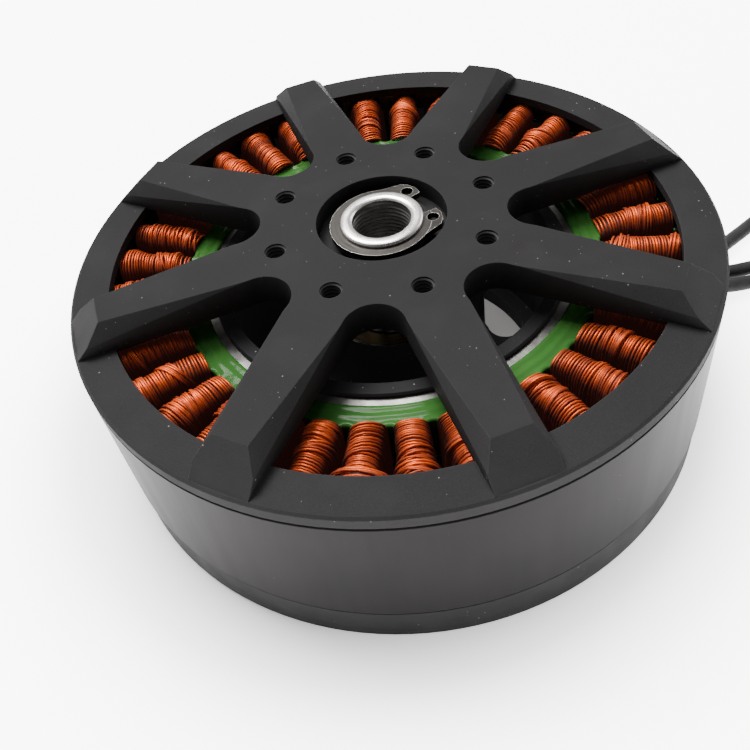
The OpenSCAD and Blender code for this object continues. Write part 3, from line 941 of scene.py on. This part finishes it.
def shaft_outside():
    """Lower end, lower groove, journal, flange under the bell, upper groove and top edge."""
    low, top, groove = SHAFT_LOW, SHAFT_TOP, GROOVE
    body = [(4.9, low), (5.6, low), (6.0, low + 0.4), (6.0, 1.4), (5.7, 1.4), (5.7, 2.4),
            (6.0, 2.4), (6.0, 25.8), (8.6, 25.8), (8.6, 27.8), (6.5, 27.8), (6.5, groove),
            (6.2, groove), (6.2, groove + 1), (6.5, groove + 1)]
    head = [(6.5, groove + 1.01), (6.5, top - 0.5), (6.3, top - 0.14), (5.8, top),
            (5.1, top - 0.02), (4.75, top - 0.16)]
    return rounded(body, 0.06) + rounded(head, 0.3)


def bore_faces(mesh):
    """1 for each face of the bore, which is darker than the outside, and 0 for the others."""
    co = [v.co for v in mesh.vertices]
    inside = []
    for f in mesh.polygons:
        wide = max(math.hypot(co[v].x, co[v].y) for v in f.vertices)
        high = max(co[v].z for v in f.vertices)
        inside.append(int(wide < 5.02 * MM and high < (SHAFT_TOP - 0.35) * MM))
    return inside


def make_shaft(mats):
    """The turned shaft, with a groove for each ring and a real thread cut in its bore."""
    outer = shaft_outside()
    heights = np.linspace(SHAFT_TOP - 0.4, SHAFT_LOW + 0.35, 520)
    prof = [*outer, (4.62, SHAFT_TOP - 0.3), *[(BORE_R, z) for z in heights], (4.95, SHAFT_LOW)]
    skip = len(outer) + 1

    def thread(r, z, a):
        cut = np.zeros_like(r)
        at = z[skip:-1] / MM
        phase = (at / BORE_PITCH - a / TAU) % 1.0
        depth = np.clip(2.6 * np.abs(phase - 0.5) - 0.3, 0, 1) * 0.30 * MM
        cut[skip:-1] = depth * np.clip((SHAFT_TOP - 0.6 - at) / 1.0, 0, 1)
        return r + cut, z

    ob = lathe("shaft_turned", prof, mats["steel"], 128, True, thread)
    ob.data.materials.append(mats["bore"])
    ob.data.polygons.foreach_set("material_index", bore_faces(ob.data))
    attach(ob, "rotor")
    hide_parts("shaft")


def make_hub_threads(mats):
    """Thread crests standing in the eight hub holes."""
    cols, rows = 28, 60
    pitch = 0.7
    a = np.linspace(0, TAU, cols, endpoint=False)[None, :]
    z = np.linspace(31.35, 36.05, rows)[:, None]
    crest = np.abs(((z / pitch - a / TAU) % 1.0) - 0.5) * 2
    r = 1.67 - 0.27 * np.clip(crest * 1.5 - 0.3, 0, 1) * np.clip((36.1 - z) / 0.25, 0, 1)
    parts = []
    for k in range(HUB_HOLES):
        turn = k * TAU / HUB_HOLES
        x = HUB_R * math.cos(turn) + r * np.cos(a)
        y = HUB_R * math.sin(turn) + r * np.sin(a)
        points = np.stack([x, y, z + 0 * a], -1).reshape(-1, 3)
        parts.append((points, grid_faces(rows, cols)[:, ::-1]))
    verts, faces = joined(parts)
    ob = mesh_from("hub_threads", verts * MM, faces, mats["thread"])
    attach(ob, "rotor")


# ---------------------------------------------------------------- carried-over parts
LOOKS = {
    "bell": "bell", "base": "base", "flux_ring": "ring", "magnets": "magnet",
    "stator_core": "core", "top_circlip": "clip", "bottom_circlip": "clip",
    "upper_spacer": "steel", "end_washer": "steel", "shaft": "steel",
    "upper_inner_race": "race", "lower_inner_race": "race",
    "upper_outer_race": "race", "lower_outer_race": "race",
    "upper_balls": "race", "lower_balls": "race",
    "upper_cage": "cage", "lower_cage": "cage",
    "upper_shields": "shield", "lower_shields": "shield",
    "coating_top": "green", "coating_bottom": "green",
}


def dress(mats):
    """Gives every CAD node its procedural material: black rubber if LOOKS doesn't name it."""
    for name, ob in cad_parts.items():
        ob.data.materials.clear()
        ob.data.materials.append(mats[LOOKS.get(name, "sleeve")])


def main():
    make_camera()
    make_stage()
    mats = make_materials()
    for phase in "uvw":
        make_lead(phase, mats)
    for phase in range(3):
        make_winding(phase, mats)
    make_coating("coating_top", CORE_TOP, 1, mats)
    make_coating("coating_bottom", CORE_LOW, -1, mats)
    make_shaft(mats)
    make_hub_threads(mats)
    dress(mats)


main()
